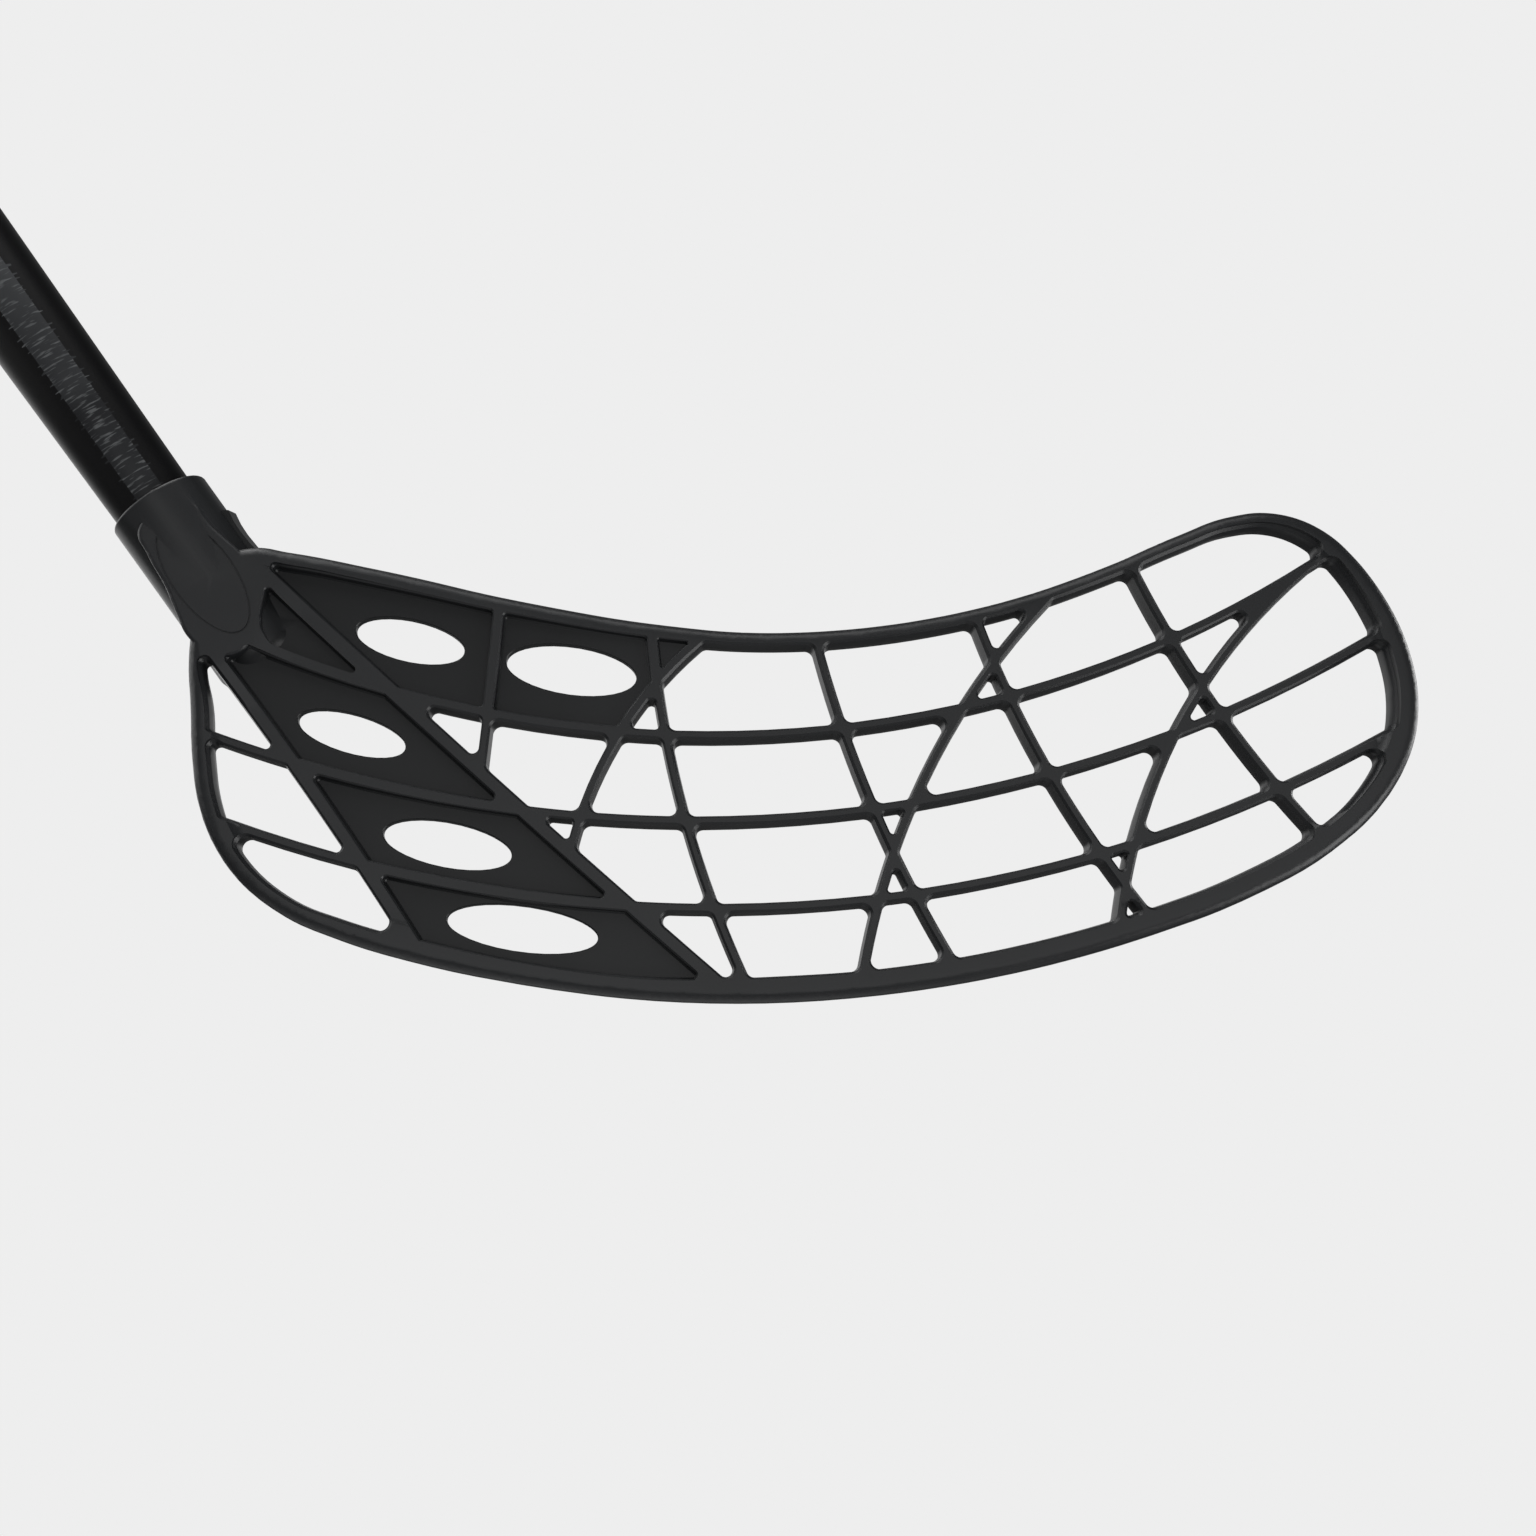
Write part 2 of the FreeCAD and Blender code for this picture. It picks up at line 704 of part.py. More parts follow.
def screw_holes(radius):
    """Round cuts across the shaft for both screws, open to the back."""
    hole = Part.makeCylinder(radius, socket_radius + cut_overrun)
    return [crosswise(hole, -depth) for depth in (upper_screw_depth, lower_screw_depth)]


def screw_seats():
    """Flat recesses for the screw heads in the back of the socket."""
    radius = screw_head_diameter / 2 + fit_clearance
    seat = Part.makeCylinder(radius, screw_head_height + screw_seat_depth, Vector(0, 0, screw_seat))
    return [crosswise(seat, -depth) for depth in (upper_screw_depth, lower_screw_depth)]


def fin():
    """Flat web from the socket's toe side to the back of the blade."""
    points = [(out * socket_radius, -down * socket_length) for down, out in fin_shares]
    face = Part.Face(Part.makePolygon([plane_vector(p) for p in points + points[:1]]))
    face.translate(Vector(0, -fin_front, 0))
    return face.extrude(Vector(0, fin_thickness, 0))


def socket_tube():
    """Outside of the socket, with a rounded closed end and a rounded mouth."""
    tube = Part.makeCylinder(socket_radius, socket_length, Vector(socket_offset, 0, -socket_length))
    rings = [edge for edge in tube.Edges if edge.Closed and edge.Curve.TypeId == "Part::GeomCircle"]
    low = min(rings, key=lambda edge: edge.CenterOfMass.z)
    high = max(rings, key=lambda edge: edge.CenterOfMass.z)
    return tube.makeFillet(socket_end_round, [low]).makeFillet(mouth_round, [high])


def blade():
    """Moulded blade with its socket, bored for the shaft and the screws."""
    plate = on_blade(blade_plate().cut(oval_mark_cutter()))
    body = plate.fuse([on_shaft(socket_tube()), on_shaft(fin())])
    bore = Part.makeCylinder(bore_radius, socket_depth + cut_overrun, Vector(0, 0, -socket_depth))
    cuts = [bore] + screw_seats() + screw_holes(screw_diameter / 2 + fit_clearance)
    return body.cut([on_shaft(cut) for cut in cuts])


def shaft():
    """Hollow composite tube: straight in the socket, tapered, then straight."""
    outside = (
        (lower_radius, shaft_foot), (lower_radius, 0),
        (upper_radius, shaft_taper_length), (upper_radius, butt),
    )
    inside_wall = [(radius - shaft_wall, height) for radius, height in reversed(outside)]
    tube = turned(list(outside) + inside_wall)
    return on_shaft(tube.cut(screw_holes(screw_diameter / 2 + fit_clearance)))


def glue_film():
    """Set hot-melt glue between the shaft and the socket, with its floor."""
    outer = bore_radius - fit_clearance
    inner = lower_radius + fit_clearance
    low = fit_clearance - socket_depth
    floor = shaft_foot - fit_clearance
    cup = turned(((0, low), (outer, low), (outer, 0), (inner, 0), (inner, floor), (0, floor)))
    return on_shaft(cup.cut(screw_holes(screw_diameter / 2 + fit_clearance)))


def blade_screw(depth):
    """Pan-head tapping screw with a cross drive, from the back of the socket."""
    head = screw_head_diameter / 2
    core = screw_diameter / 2
    top = screw_seat + screw_head_height
    tip = screw_seat - screw_length
    body = turned((
        (0, tip), (core, tip + screw_point_length), (core, screw_seat), (head, screw_seat),
        (head, top - screw_head_round), (head - screw_head_round, top), (0, top),
    ))
    for span_x, span_y in ((screw_drive_span, screw_drive_width), (screw_drive_width, screw_drive_span)):
        corner = Vector(-span_x / 2, -span_y / 2, top - screw_drive_depth)
        body = body.cut(Part.makeBox(span_x, span_y, screw_drive_depth + cut_overrun, corner))
    return on_shaft(crosswise(body, -depth))


def grip_tape():
    """Soft wrapped grip, as one sleeve, pressed thin where the tape laps it."""
    inner = upper_radius + fit_clearance
    shoulder = free_grip_foot + fit_clearance
    return on_shaft(turned((
        (inner, grip_foot), (lap_radius - grip_lower_round, grip_foot),
        (lap_radius, grip_foot + grip_lower_round), (lap_radius, shoulder), (grip_radius, shoulder),
        (grip_radius, butt), (inner, butt),
    )))


def finishing_tape():
    """Thin band that holds the grip's lower end down on the shaft."""
    low = free_grip_foot - finishing_tape_width
    shaft_face = upper_radius + fit_clearance
    lap_face = lap_radius + fit_clearance
    step = grip_foot - fit_clearance
    ramp = step - (lap_face - shaft_face)
    return on_shaft(turned((
        (shaft_face, low), (shaft_face + finishing_tape_thickness, low),
        (shaft_face + finishing_tape_thickness, ramp), (lap_face + finishing_tape_thickness, step),
        (lap_face + finishing_tape_thickness, free_grip_foot), (lap_face, free_grip_foot),
        (lap_face, step + grip_lower_round), (lap_face - grip_lower_round, step), (shaft_face, step),
    )))


def end_cap():
    """Rubber plug in the shaft's butt end, with a crowned head."""
    plug = upper_radius - shaft_wall - fit_clearance
    head = grip_radius - cap_inset
    base = butt + fit_clearance
    foot = butt - cap_plug_length
    body = turned((
        (0, foot), (plug - cap_plug_lead, foot), (plug, foot + cap_plug_lead), (plug, base), (head, base),
        (head, base + cap_height), (0, base + cap_height),
    ))
    crown = [
        edge for edge in body.Edges
        if edge.Curve.TypeId == "Part::GeomCircle" and edge.CenterOfMass.z > base + cap_height - fit_clearance
    ]
    return on_shaft(body.makeFillet(cap_crown_round, crown))


pieces = {
    "blade": blade(),
    "shaft": shaft(),
    "glue_film": glue_film(),
    "upper_blade_screw": blade_screw(upper_screw_depth),
    "lower_blade_screw": blade_screw(lower_screw_depth),
    "grip_tape": grip_tape(),
    "finishing_tape": finishing_tape(),
    "end_cap": end_cap(),
}
os.makedirs("parts", exist_ok=True)
for name, piece in pieces.items():
    solid = piece.Solids[0]
    print(name, len(piece.Solids), solid.isValid(), round(solid.Volume / 1000, 2), "cm3", len(solid.Faces))
    solid.exportStep(os.path.join("parts", name + ".step"))
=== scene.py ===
import math

import bpy
import numpy as np
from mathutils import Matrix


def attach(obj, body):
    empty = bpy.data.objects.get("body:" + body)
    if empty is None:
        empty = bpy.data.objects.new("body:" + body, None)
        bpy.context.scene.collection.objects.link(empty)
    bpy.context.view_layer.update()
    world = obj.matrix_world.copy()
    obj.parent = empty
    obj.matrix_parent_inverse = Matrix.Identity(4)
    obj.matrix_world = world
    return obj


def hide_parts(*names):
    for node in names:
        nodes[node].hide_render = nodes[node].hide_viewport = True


# Floorball stick: looks of the moulded blade, the lacquered tube and the wrap.
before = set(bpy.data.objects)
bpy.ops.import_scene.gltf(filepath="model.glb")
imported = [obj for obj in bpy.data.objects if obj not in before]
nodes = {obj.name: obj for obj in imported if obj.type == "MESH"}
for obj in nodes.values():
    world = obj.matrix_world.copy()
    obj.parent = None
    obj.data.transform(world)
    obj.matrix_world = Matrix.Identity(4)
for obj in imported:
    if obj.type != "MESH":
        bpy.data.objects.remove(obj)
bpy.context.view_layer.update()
MM = 0.001

# The shaft's lean and its directions
LIE = math.radians(54.4)
ALONG = np.array([-math.cos(LIE), 0.0, math.sin(LIE)])
ACROSS = np.array([math.sin(LIE), 0.0, math.cos(LIE)])
BACK = np.array([0.0, 1.0, 0.0])

# Places along the shaft's axis in millimetres, from the socket's mouth up. The middle
# of the free grip is the frame's origin.
SHAFT_FOOT = -41.0
TAPER_END = 211.0
GRIP_FOOT = 519.0
FREE_GRIP_FOOT = 531.0
MIDDLE = 725.0
BUTT = 919.0

# Radii and walls of shaft and grip in millimetres
LOWER_RADIUS = 10.15
UPPER_RADIUS = 13.0
SHAFT_WALL = 1.6
LAP_RADIUS = 13.54
GRIP_RADIUS = 14.2

# Faces round the tube, and rows in each of its three stretches
TUBE_STEPS = 144
TUBE_ROWS = 24

# The grip's tape in millimetres: rise per turn, the foot's margin, its sink at the
# finishing tape and the climb from there, its round at the butt, and the height
# under which a quad counts as flattened. It has 96 steps in a turn.
TAPE_STEPS = 96
TAPE_PITCH = 26.0
TAPE_MARGIN = 2
TAPE_SINK = 0.05
TAPE_CLIMB = 1.2
BUTT_ROUND = 1.0
BUTT_DROP = 0.5
FLATTENED = 1e-6

# The strip on the shaft in turns: its middle, its half width, its soft border and how
# far its streaks stand out of it
STRIP_TURN = 0.460
STRIP_HALF = 0.056
STRIP_BORDER = 0.0015
STRIP_SPIKE = 0.016

# The blade's middle, which the camera looks at, in millimetres
BLADE_MIDDLE = np.array([572.4, -4.0, -653.8])
CAMERA_DISTANCE = 416.0

# The blade's stance in degrees and its plate in millimetres
BLADE_YAW = 3.0
BLADE_LOFT = 12.5
BLADE_THICKNESS = 7.5
HOOK_RADIUS = 1200.0
FACE_DEPTH = 1.7
WEB_DEPTH = 2.3
PANEL_END = -4.0
PANEL_FADE = 15.0

# Vertices closer than this in metres are one, and edges sharper than these are creases
WELD = 1e-6
BLADE_CREASE = math.radians(32)
TUBE_CREASE = math.radians(35)
TAPE_CREASE = math.radians(50)

# The floor's middle and half sizes in millimetres, the share of it that shows at the
# backdrop's level, and the fill light's strength
FLOOR_MIDDLE = np.array([250.0, 0.0, -1400.0])
FLOOR_HALF = np.array([950.0, 900.0, 0.0])
FLOOR_EVEN = 0.65
FILL = 0.54
BACKDROP = "#eeeeee"

# Settings that many nodes share
COLOURS = {"data_type": "RGBA"}


def linear(code):
    """sRGB hex code as the linear colour that sockets take."""
    values = np.array([int(code[i:i + 2], 16) for i in (1, 3, 5)]) / 255
    values = np.where(values <= 0.04045, values / 12.92, ((values + 0.055) / 1.055) ** 2.4)
    return (*values.tolist(), 1.0)


def node(tree, kind, settings=None, **sockets):
    """Adds one shader node: its settings, then each input as a link or a value. An
    input goes by its name, or by its number as in _6 where names repeat."""
    made = tree.nodes.new("ShaderNode" + kind)
    for key, value in (settings or {}).items():
        setattr(made, key, value)
    for key, value in sockets.items():
        place = int(key[1:]) if key[1:].isdigit() else key.replace("_", " ")
        if isinstance(value, bpy.types.NodeSocket):
            tree.links.new(value, made.inputs[place])
        else:
            made.inputs[place].default_value = value
    return made


def material(name):
    """New material, its node tree and its surface shader."""
    made = bpy.data.materials.new(name)
    made.use_nodes = True
    return made, made.node_tree, made.node_tree.nodes["Principled BSDF"]


def polyamide():
    """Injection-moulded polyamide, charcoal: a dry satin skin with the tool's fine
    spark grain. The recesses carry painted shade: their base colour darkens and
    their gloss weakens with their depth."""
    made, tree, shader = material("moulded_polyamide")
    place = node(tree, "TexCoord").outputs["Object"]
    deep = node(tree, "Attribute", {"attribute_name": "recess"}).outputs["Fac"]
    # Spark grain is near 0.05 mm, drawn here at 0.4 mm so that it shows
    grain = node(tree, "TexNoise", Vector=place, Scale=1 / (0.4 * MM), Detail=2.0)
    # The melt's flow clouds the skin over some 24 mm
    flow = node(tree, "TexNoise", Vector=place, Scale=1 / (24 * MM), Detail=3.0)
    rough = node(tree, "MapRange", Value=flow.outputs["Fac"], From_Min=0.3, From_Max=0.7,
                 To_Min=0.34, To_Max=0.40)
    # Painted shade: the gloss weakens with the depth of the recesses
    gloss = node(tree, "MapRange", Value=deep, To_Min=0.29, To_Max=0.22)
    face = node(tree, "Mix", COLOURS, Factor=flow.outputs["Fac"],
                _6=linear("#17181a"), _7=linear("#1b1c1d"))
    # Painted shade: the base colour darkens with the depth of the recesses
    tint = node(tree, "Mix", COLOURS, Factor=deep, _6=face.outputs[2], _7=linear("#151617"))
    bump = node(tree, "Bump", Strength=0.10, Distance=0.05 * MM, Height=grain.outputs["Fac"])
    tree.links.new(tint.outputs[2], shader.inputs["Base Color"])
    tree.links.new(rough.outputs["Result"], shader.inputs["Roughness"])
    tree.links.new(gloss.outputs["Result"], shader.inputs["Specular IOR Level"])
    tree.links.new(bump.outputs["Normal"], shader.inputs["Normal"])
    return made


def lacquer():
    """Satin lacquered composite tube: black under clear varnish, with a plain
    grey strip, paler up the tube, whose thin print breaks into cross streaks."""
    made, tree, shader = material("lacquered_composite")
    parts = node(tree, "SeparateXYZ", Vector=node(tree, "UVMap").outputs["UV"])
    # The map's first value is the way round in turns, its second the way along in metres
    turn, along = parts.outputs["X"], parts.outputs["Y"]
    offset = node(tree, "Math", {"operation": "SUBTRACT"}, _0=turn, _1=STRIP_TURN)
    away = node(tree, "Math", {"operation": "ABSOLUTE"}, _0=offset.outputs[0])
    # Streaks are near 0.2 mm wide, drawn here at 0.7 to 0.9 mm so that they show
    ticks = node(tree, "TexNoise", {"noise_dimensions": "1D"}, W=along,
                 Scale=1 / (0.9 * MM), Detail=1.0)
    spike = node(tree, "MapRange", Value=ticks.outputs["Fac"], From_Min=0.60, From_Max=0.72,
                 To_Min=0.0, To_Max=STRIP_SPIKE)
    half = node(tree, "Math", {"operation": "ADD"}, _0=spike.outputs["Result"], _1=STRIP_HALF)
    inside = node(tree, "Math", {"operation": "SUBTRACT"}, _0=half.outputs[0], _1=away.outputs[0])
    strip = node(tree, "MapRange", Value=inside.outputs[0], From_Min=0.0, From_Max=STRIP_BORDER)
    stretched = node(tree, "CombineXYZ", X=turn, Y=along)
    # Fourteen streak lengths go round the tube
    lines = node(tree, "Mapping", {"vector_type": "POINT"}, Vector=stretched.outputs[0],
                 Scale=(14.0, 1 / (0.7 * MM), 1.0))
    worn = node(tree, "TexNoise", {"noise_dimensions": "2D"}, Vector=lines.outputs[0],
                Scale=1.0, Detail=2.0)
    scratch = node(tree, "MapRange", Value=worn.outputs["Fac"], From_Min=0.56, From_Max=0.70,
                   To_Min=0.0, To_Max=0.55)
    # The print's ground pales in blotches of 22 mm and from 25 to 130 mm up the tube
    blotch = node(tree, "TexNoise", {"noise_dimensions": "1D"}, W=along,
                  Scale=1 / (22 * MM), Detail=1.0)
    rise = node(tree, "MapRange", Value=along, From_Min=25 * MM, From_Max=130 * MM,
                To_Min=-0.25, To_Max=0.75)
    paler = node(tree, "Math", {"operation": "MULTIPLY_ADD", "use_clamp": True},
                 _0=blotch.outputs["Fac"], _1=0.5, _2=rise.outputs["Result"])
    ground = node(tree, "Mix", COLOURS, Factor=paler.outputs[0],
                  _6=linear("#151618"), _7=linear("#454749"))
    printed = node(tree, "Mix", COLOURS, Factor=scratch.outputs["Result"],
                   _6=ground.outputs[2], _7=linear("#57595a"))
    colour = node(tree, "Mix", COLOURS, Factor=strip.outputs["Result"],
                  _6=linear("#040405"), _7=printed.outputs[2])
    tree.links.new(colour.outputs[2], shader.inputs["Base Color"])
    shader.inputs["Roughness"].default_value = 0.40
    shader.inputs["Specular IOR Level"].default_value = 0.18
    return made


def zinc_steel():
    """Zinc-plated steel: bright, slightly blue, with a faint haze in its gloss."""
    made, tree, shader = material("zinc_plated_steel")
    place = node(tree, "TexCoord").outputs["Object"]
    haze = node(tree, "TexNoise", Vector=place, Scale=1 / (0.8 * MM), Detail=3.0)
    rough = node(tree, "MapRange", Value=haze.outputs["Fac"], To_Min=0.22, To_Max=0.42)
    tree.links.new(rough.outputs["Result"], shader.inputs["Roughness"])
    shader.inputs["Base Color"].default_value = linear("#a9adb2")
    shader.inputs["Metallic"].default_value = 1.0
    return made


def grip_foam():
    """Foamed polyurethane wrap: matte and tacky, with punched holes 1 mm wide
    every 5 mm and a soft calender grain."""
    made, tree, shader = material("perforated_polyurethane")
    # The map is in metres along and across the tape
    surface = node(tree, "UVMap").outputs["UV"]
    rows = node(tree, "VectorMath", {"operation": "SCALE"}, _0=surface, Scale=1 / (5 * MM))
    holes = node(tree, "TexVoronoi", {"voronoi_dimensions": "2D"}, Vector=rows.outputs[0],
                 Scale=1.0, Randomness=0.0)
    punched = node(tree, "MapRange", Value=holes.outputs["Distance"],
                   From_Min=0.08, From_Max=0.13)
    place = node(tree, "TexCoord").outputs["Object"]
    grain = node(tree, "TexNoise", Vector=place, Scale=1 / (0.6 * MM), Detail=3.0)
    height = node(tree, "Math", {"operation": "MULTIPLY_ADD"}, _0=grain.outputs["Fac"],
                  _1=0.12, _2=punched.outputs["Result"])
    bump = node(tree, "Bump", Strength=0.6, Distance=0.35 * MM, Height=height.outputs[0])
    colour = node(tree, "Mix", COLOURS, Factor=punched.outputs["Result"],
                  _6=linear("#0a0a0b"), _7=linear("#1f2022"))
    tree.links.new(colour.outputs[2], shader.inputs["Base Color"])
    tree.links.new(bump.outputs["Normal"], shader.inputs["Normal"])
    shader.inputs["Roughness"].default_value = 0.62
    shader.inputs["Specular IOR Level"].default_value = 0.35
    return made


def vinyl():
    """Calendered vinyl tape: smooth, a little stretched, satin black."""
    made, tree, shader = material("calendered_vinyl")
    place = node(tree, "TexCoord").outputs["Object"]
    pull = node(tree, "TexNoise", Vector=place, Scale=1 / (3 * MM), Detail=2.0)
    bump = node(tree, "Bump", Strength=0.15, Distance=0.1 * MM, Height=pull.outputs["Fac"])
    tree.links.new(bump.outputs["Normal"], shader.inputs["Normal"])
    shader.inputs["Base Color"].default_value = linear("#0d0e0f")
    shader.inputs["Roughness"].default_value = 0.34
    return made


def cap_rubber():
    """Compression-moulded rubber: dead matte, with a pale bloom in the grain."""
    made, tree, shader = material("moulded_rubber")
    place = node(tree, "TexCoord").outputs["Object"]
    grain = node(tree, "TexNoise", Vector=place, Scale=1 / (0.7 * MM), Detail=4.0)
    bump = node(tree, "Bump", Strength=0.25, Distance=0.1 * MM, Height=grain.outputs["Fac"])
    bloom = node(tree, "Mix", COLOURS, Factor=grain.outputs["Fac"],
                 _6=linear("#121314"), _7=linear("#1d1e20"))
    tree.links.new(bloom.outputs[2], shader.inputs["Base Color"])
    tree.links.new(bump.outputs["Normal"], shader.inputs["Normal"])
    shader.inputs["Roughness"].default_value = 0.7
    return made


def hot_melt():
    """Set hot-melt glue: amber, waxy and slightly cloudy."""
    made, tree, shader = material("set_hot_melt")
    place = node(tree, "TexCoord").outputs["Object"]
    cloud = node(tree, "TexNoise", Vector=place, Scale=1 / (4 * MM), Detail=2.0)
    tint = node(tree, "Mix", COLOURS, Factor=cloud.outputs["Fac"],
                _6=linear("#b39a66"), _7=linear("#c9b688"))
    tree.links.new(tint.outputs[2], shader.inputs["Base Color"])
    shader.inputs["Roughness"].default_value = 0.4
    return made


def on_shaft(radius, turn, height):
    """Points in metres at a radius, a turn about the axis and a height along it.
    Turn zero faces away from the camera, so half a turn faces it."""
    angle = turn * 2 * math.pi
    side = radius * np.sin(angle)
    deep = radius * np.cos(angle)
    along = height - MIDDLE
    return MM * (side[..., None] * ACROSS + deep[..., None] * BACK + along[..., None] * ALONG)


def surface_object(name, points, faces, uv, finish):
    """Smooth mesh object at the origin from points, quads and a map value for each
    corner of a quad."""
    mesh = bpy.data.meshes.new(name)
    mesh.from_pydata(points.reshape(-1, 3), [], faces.reshape(-1, 4))
    layer = mesh.uv_layers.new(name="surface")
    layer.data.foreach_set("uv", np.ascontiguousarray(uv, np.float32).reshape(-1))
    mesh.polygons.foreach_set("use_smooth", np.full(len(mesh.polygons), True))
    mesh.materials.append(finish)
    made = bpy.data.objects.new(name, mesh)
    bpy.context.scene.collection.objects.link(made)
    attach(made, "root")
    return made


def tube():
    """Surface of revolution: the closed wall profile, radius over height, carried
    round the shaft's axis in even steps. Map: turn, height in metres."""
    outer = np.array([
        (LOWER_RADIUS, SHAFT_FOOT), (LOWER_RADIUS, 0),
        (UPPER_RADIUS, TAPER_END), (UPPER_RADIUS, BUTT),
    ])
    stretches = zip(outer[:-1, 1], outer[1:, 1])
    rows = [np.linspace(low, high, TUBE_ROWS, endpoint=False) for low, high in stretches]
    heights = np.concatenate(rows + [[BUTT]])
    radii = np.interp(heights, outer[:, 1], outer[:, 0])
    outside = np.stack([radii, heights], 1)
    inside = np.stack([radii - SHAFT_WALL, heights], 1)
    profile = np.concatenate([outside, inside[::-1]])
    count = len(profile)
    i, j = np.meshgrid(np.arange(TUBE_STEPS), np.arange(count), indexing="ij")
    points = on_shaft(profile[j, 0], i / TUBE_STEPS, profile[j, 1])
    ahead, above = (i + 1) % TUBE_STEPS, (j + 1) % count
    faces = np.stack([
        i * count + j, i * count + above, ahead * count + above, ahead * count + j,
    ], -1)
    along = profile[:, 1] * MM
    here, there = i / TUBE_STEPS, (i + 1) / TUBE_STEPS
    uv = np.stack([
        np.stack([here, along[j]], -1), np.stack([here, along[above]], -1),
        np.stack([there, along[above]], -1), np.stack([there, along[j]], -1),
    ], 2)
    made = surface_object("shaft_tube", points, faces, uv, lacquer())
    made.data.set_sharp_from_angle(angle=TUBE_CREASE)
    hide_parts("shaft")


def wrap():
    """Helical tape: the tape's cross profile, radius over its width, carried up a
    helix, each turn sewn to the next at its lapped edge. It climbs from the lap
    under the finishing tape, and its end at the butt is a quarter round. Map:
    metres along and across the tape."""
    # Shares of the tape's pitch, and how far each stands off the grip's radius
    across = np.array([
        0.0, 0.010, 0.030, 0.10, 0.30, 0.55, 0.76, 0.82, 0.88, 0.94, 0.975, 0.992,
    ])
    lift = np.array([
        -0.62, -0.60, -0.56, -0.55, -0.55, -0.55, -0.52, -0.34, -0.12, -0.02, 0.0, -0.06,
    ])
    first, last = GRIP_FOOT + TAPE_MARGIN, BUTT
    turns = int(math.ceil((last - first) / TAPE_PITCH)) + 1
    count = len(across)
    total = turns * TAPE_STEPS
    q, m = np.meshgrid(np.arange(total + 1), np.arange(count), indexing="ij")
    turn = q / TAPE_STEPS
    height = np.clip(first + TAPE_PITCH * (turn - 1 + across[m]), first, last)
    climbed = np.clip((height - FREE_GRIP_FOOT) / TAPE_CLIMB, 0, 1)
    sunk = LAP_RADIUS - TAPE_SINK
    radius = sunk + (GRIP_RADIUS + lift[m] - sunk) * climbed
    end = np.clip((last - height) / BUTT_ROUND, 0, 1)
    radius = radius - BUTT_DROP * (1 - np.sqrt(1 - (1 - end) ** 2))
    points = on_shaft(radius, turn, height)
    flat = np.stack([
        turn * 2 * math.pi * GRIP_RADIUS * MM, across[m] * TAPE_PITCH * MM,
    ], -1)
    # Quads within the tape, then those that sew its upper edge to the next turn's lower
    a, b = np.meshgrid(np.arange(total), np.arange(count - 1), indexing="ij")
    low, high = a * count + b, (a + 1) * count + b
    inner = np.stack([low, low + 1, high + 1, high], -1).reshape(-1, 4)
    c = np.arange(total - TAPE_STEPS)
    edge, lap = c * count + count - 1, (c + TAPE_STEPS) * count
    seam = np.stack([edge, lap, lap + count, edge + count], -1)
    faces = np.concatenate([inner, seam])
    # Quads that the clipped ends have flattened are left out
    level = height.reshape(-1)[faces]
    faces = faces[(level.max(1) - level.min(1)) > FLATTENED]
    uv = flat.reshape(-1, 2)[faces]
    made = surface_object("grip_wrap", points, faces, uv, grip_foam())
    made.data.set_sharp_from_angle(angle=TAPE_CREASE)
    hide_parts("grip_tape")


def recess_share(points):
    """How far points in metres lie in the recesses of the heel's panel, from 0 on
    the faces to 1 on the webs: their depth under the nearer hooked face."""
    yaw, loft = math.radians(BLADE_YAW), math.radians(BLADE_LOFT)
    toe_way = np.array([math.cos(yaw), math.sin(yaw), 0.0])
    level_back = np.array([-math.sin(yaw), math.cos(yaw), 0.0])
    up = np.array([0.0, 0.0, 1.0])
    back_way = math.cos(loft) * level_back - math.sin(loft) * up
    away = points / MM - BLADE_MIDDLE
    along = away @ toe_way
    hooked = np.sqrt(HOOK_RADIUS ** 2 - along ** 2) - HOOK_RADIUS
    depth = BLADE_THICKNESS / 2 - np.abs(away @ back_way - hooked)
    panel = np.clip((PANEL_END - along) / PANEL_FADE, 0, 1)
    return panel * np.clip((depth - FACE_DEPTH) / (WEB_DEPTH - FACE_DEPTH), 0, 1)


def blade_copy():
    """Merged copy of the moulded blade, smooth over its rounds and crisp at its
    lips, with normals led by its large flat faces."""
    mesh = nodes["blade"].data.copy()
    mesh.name = "blade_moulding"
    made = bpy.data.objects.new("blade_moulding", mesh)
    bpy.context.scene.collection.objects.link(made)
    weld = made.modifiers.new("weld", "WELD")
    weld.merge_threshold = WELD
    depsgraph = bpy.context.evaluated_depsgraph_get()
    merged = bpy.data.meshes.new_from_object(made.evaluated_get(depsgraph))
    made.modifiers.clear()
    made.data = merged
    # The loose triangles' own normals give way to those of the merged faces
    if "custom_normal" in merged.attributes:
        merged.attributes.remove(merged.attributes["custom_normal"])
    merged.polygons.foreach_set("use_smooth", np.full(len(merged.polygons), True))
    merged.set_sharp_from_angle(angle=BLADE_CREASE)
    # Each point's depth in the heel's recesses, which the finish turns into painted shade
    points = np.empty(3 * len(merged.vertices), np.float32)
    merged.vertices.foreach_get("co", points)
    layer = merged.attributes.new("recess", "FLOAT", "POINT")
    layer.data.foreach_set("value", recess_share(points.reshape(-1, 3)).astype(np.float32))
    lead = made.modifiers.new("flat_faces_lead", "WEIGHTED_NORMAL")
    lead.mode = "FACE_AREA"
    lead.keep_sharp = True
    merged.materials.clear()
    merged.materials.append(polyamide())
    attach(made, "root")
    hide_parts("blade")


def dress(name, finish):
    """Gives a solid that stays as it is its finish."""
    nodes[name].data.materials.clear()
    nodes[name].data.materials.append(finish)


def pointing(aim):
    """Turn that points a lamp's or camera's own -Z along a direction."""
    flat = math.hypot(aim[0], aim[1])
    return (math.atan2(flat, -aim[2]), 0.0, math.atan2(-aim[0], aim[1]))


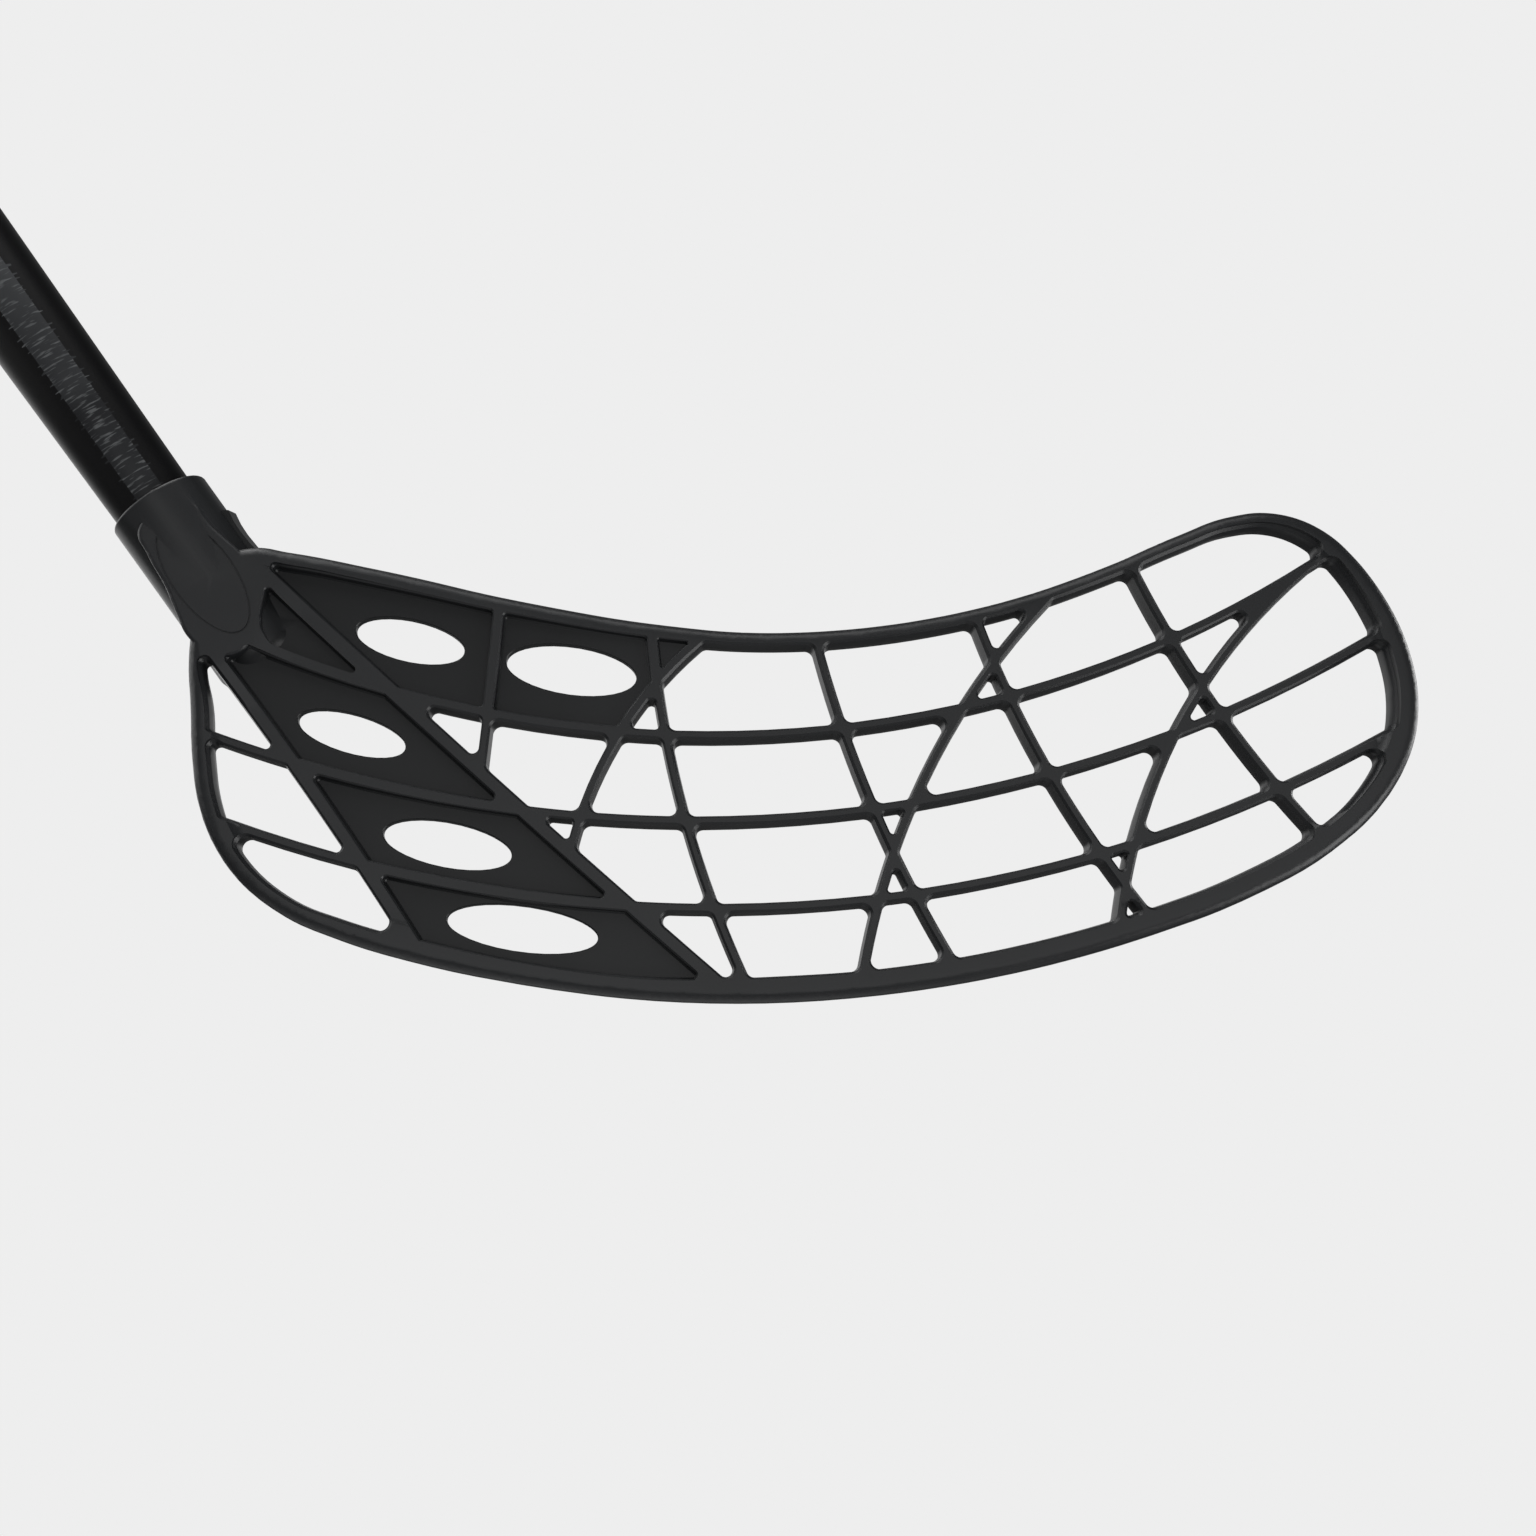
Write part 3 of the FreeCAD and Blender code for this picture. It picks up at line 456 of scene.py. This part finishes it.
def soft_box(name, offset, edge, watts):
    """Square soft box at an offset in millimetres from the blade's middle, turned
    to it, with its edge in metres."""
    light = bpy.data.lights.new(name, "AREA")
    light.size = edge
    light.energy = watts
    made = bpy.data.objects.new(name, light)
    bpy.context.scene.collection.objects.link(made)
    place = BLADE_MIDDLE + np.array(offset)
    made.location = place * MM
    made.rotation_euler = pointing(BLADE_MIDDLE - place)
    made.visible_camera = False


def rays(tree):
    """Shares of the rays that show the background: from the camera, and off gloss
    or through glass."""
    path = node(tree, "LightPath")
    bounced = node(tree, "Math", {"operation": "MAXIMUM"},
                   _0=path.outputs["Is Glossy Ray"], _1=path.outputs["Is Transmission Ray"])
    return path.outputs["Is Camera Ray"], bounced.outputs[0]


def stage_floor():
    """Plain pale floor: a flat sheet well under the held stick, most of it shown
    at the backdrop's own level, faded to clear at its border so that it has no
    edge."""
    mesh = bpy.data.meshes.new("floor")
    signs = np.array([(-1, -1, 0), (1, -1, 0), (1, 1, 0), (-1, 1, 0)])
    mesh.from_pydata((FLOOR_MIDDLE + signs * FLOOR_HALF) * MM, [], [(0, 1, 2, 3)])
    made, tree, shader = material("matte_backdrop")
    shader.inputs["Base Color"].default_value = linear("#c4c4c4")
    shader.inputs["Roughness"].default_value = 1.0
    shader.inputs["Specular IOR Level"].default_value = 0.0
    place = node(tree, "TexCoord").outputs["Object"]
    middle = node(tree, "VectorMath", {"operation": "SUBTRACT"}, _0=place,
                  _1=tuple(FLOOR_MIDDLE * MM))
    scaled = node(tree, "VectorMath", {"operation": "DIVIDE"}, _0=middle.outputs[0],
                  _1=(FLOOR_HALF[0] * MM, FLOOR_HALF[1] * MM, 1.0))
    reach = node(tree, "VectorMath", {"operation": "LENGTH"}, _0=scaled.outputs[0])
    fade = node(tree, "MapRange", {"interpolation_type": "SMOOTHSTEP"},
                Value=reach.outputs["Value"], From_Min=0.35, From_Max=0.98,
                To_Min=1.0, To_Max=0.0)
    from_camera, bounced = rays(tree)
    seen = node(tree, "Math", {"operation": "MAXIMUM"}, _0=from_camera, _1=bounced)
    share = node(tree, "Math", {"operation": "MULTIPLY"}, _0=seen.outputs[0], _1=FLOOR_EVEN)
    even = node(tree, "Emission", Color=linear(BACKDROP), Strength=1.0)
    sheet = node(tree, "MixShader", _0=share.outputs[0], _1=shader.outputs[0],
                 _2=even.outputs[0])
    clear = node(tree, "BsdfTransparent")
    faded = node(tree, "MixShader", _0=fade.outputs["Result"], _1=clear.outputs[0],
                 _2=sheet.outputs[0])
    tree.links.new(faded.outputs[0], tree.nodes["Material Output"].inputs["Surface"])
    mesh.materials.append(made)
    floor = bpy.data.objects.new("floor", mesh)
    bpy.context.scene.collection.objects.link(floor)


def studio_world():
    """Pale backdrop that the camera sees. Reflections see it too, behind the
    object, with the darker sides and the half-lit front of a studio."""
    world = bpy.data.worlds.new("studio")
    bpy.context.scene.world = world
    world.use_nodes = True
    tree = world.node_tree
    tree.nodes.clear()
    from_camera, bounced = rays(tree)
    heading = node(tree, "SeparateXYZ", Vector=node(tree, "TexCoord").outputs["Generated"])
    east, north, up = (heading.outputs[axis] for axis in "XYZ")
    # The half-lit front, which reaches further round on the right and dims upwards
    right = node(tree, "MapRange", Value=east, From_Min=-0.1, From_Max=0.4,
                 To_Min=0.0, To_Max=-0.6)
    turned = node(tree, "Math", {"operation": "ADD"}, _0=north, _1=right.outputs["Result"])
    level = node(tree, "MapRange", Value=up, From_Min=0.15, From_Max=0.60,
                 To_Min=0.25, To_Max=0.08)
    front = node(tree, "MapRange", Value=turned.outputs[0], From_Min=-0.60, From_Max=-0.40,
                 To_Min=level.outputs["Result"], To_Max=0.04)
    # The backdrop behind, brightest at eye level
    high = node(tree, "MapRange", Value=up, From_Min=0.05, From_Max=0.28,
                To_Min=1.0, To_Max=0.25)
    above = node(tree, "MapRange", Value=up, From_Min=-0.25, From_Max=0.0,
                 To_Min=0.10, To_Max=high.outputs["Result"])
    behind = node(tree, "MapRange", Value=north, From_Min=0.50, From_Max=0.88,
                  To_Min=0.0, To_Max=above.outputs["Result"])
    room = node(tree, "Math", {"operation": "MAXIMUM"}, _0=front.outputs["Result"],
                _1=behind.outputs["Result"])
    backdrop = node(tree, "Background", Color=linear(BACKDROP), Strength=1.0)
    reflected = node(tree, "Background", Color=linear(BACKDROP), Strength=room.outputs[0])
    fill = node(tree, "Background", Color=linear("#ffffff"), Strength=FILL)
    lit = node(tree, "MixShader", _0=bounced, _1=fill.outputs[0], _2=reflected.outputs[0])
    mixed = node(tree, "MixShader", _0=from_camera, _1=lit.outputs[0], _2=backdrop.outputs[0])
    node(tree, "OutputWorld", Surface=mixed.outputs[0])


def camera():
    """Level camera in front of the blade's middle, 40 mm lens on a 36 mm chip."""
    data = bpy.data.cameras.new("camera")
    data.lens = 40.0
    data.sensor_width = 36.0
    data.clip_start = 0.01
    made = bpy.data.objects.new("camera", data)
    made.location = (BLADE_MIDDLE - CAMERA_DISTANCE * BACK) * MM
    made.rotation_euler = pointing(BACK)
    bpy.context.scene.collection.objects.link(made)
    bpy.context.scene.camera = made


# The pieces and their finishes
blade_copy()
tube()
wrap()
steel = zinc_steel()
dress("upper_blade_screw", steel)
dress("lower_blade_screw", steel)
dress("finishing_tape", vinyl())
dress("end_cap", cap_rubber())
dress("glue_film", hot_melt())

# Broad soft key from the front, and two boxes from above
soft_box("key_box", (150, -1250, 130), 1.15, 5)
soft_box("top_box", (-150, -250, 1100), 0.9, 6)
soft_box("crown_box", (-600, 200, 1000), 0.7, 6)
# One from low on the right, and one from each side, slightly behind, which draw light
# lines on lips and rounds. The one high on the left lights the walls that face it.
soft_box("low_box", (850, -350, -400), 0.6, 6)
soft_box("left_box", (-950, 740, 0), 0.9, 2.2)
soft_box("side_box", (-1000, 0, 500), 1.1, 6)
soft_box("right_box", (950, 300, 150), 0.5, 5)

stage_floor()
studio_world()
camera()
bpy.context.scene.view_settings.view_transform = "Standard"
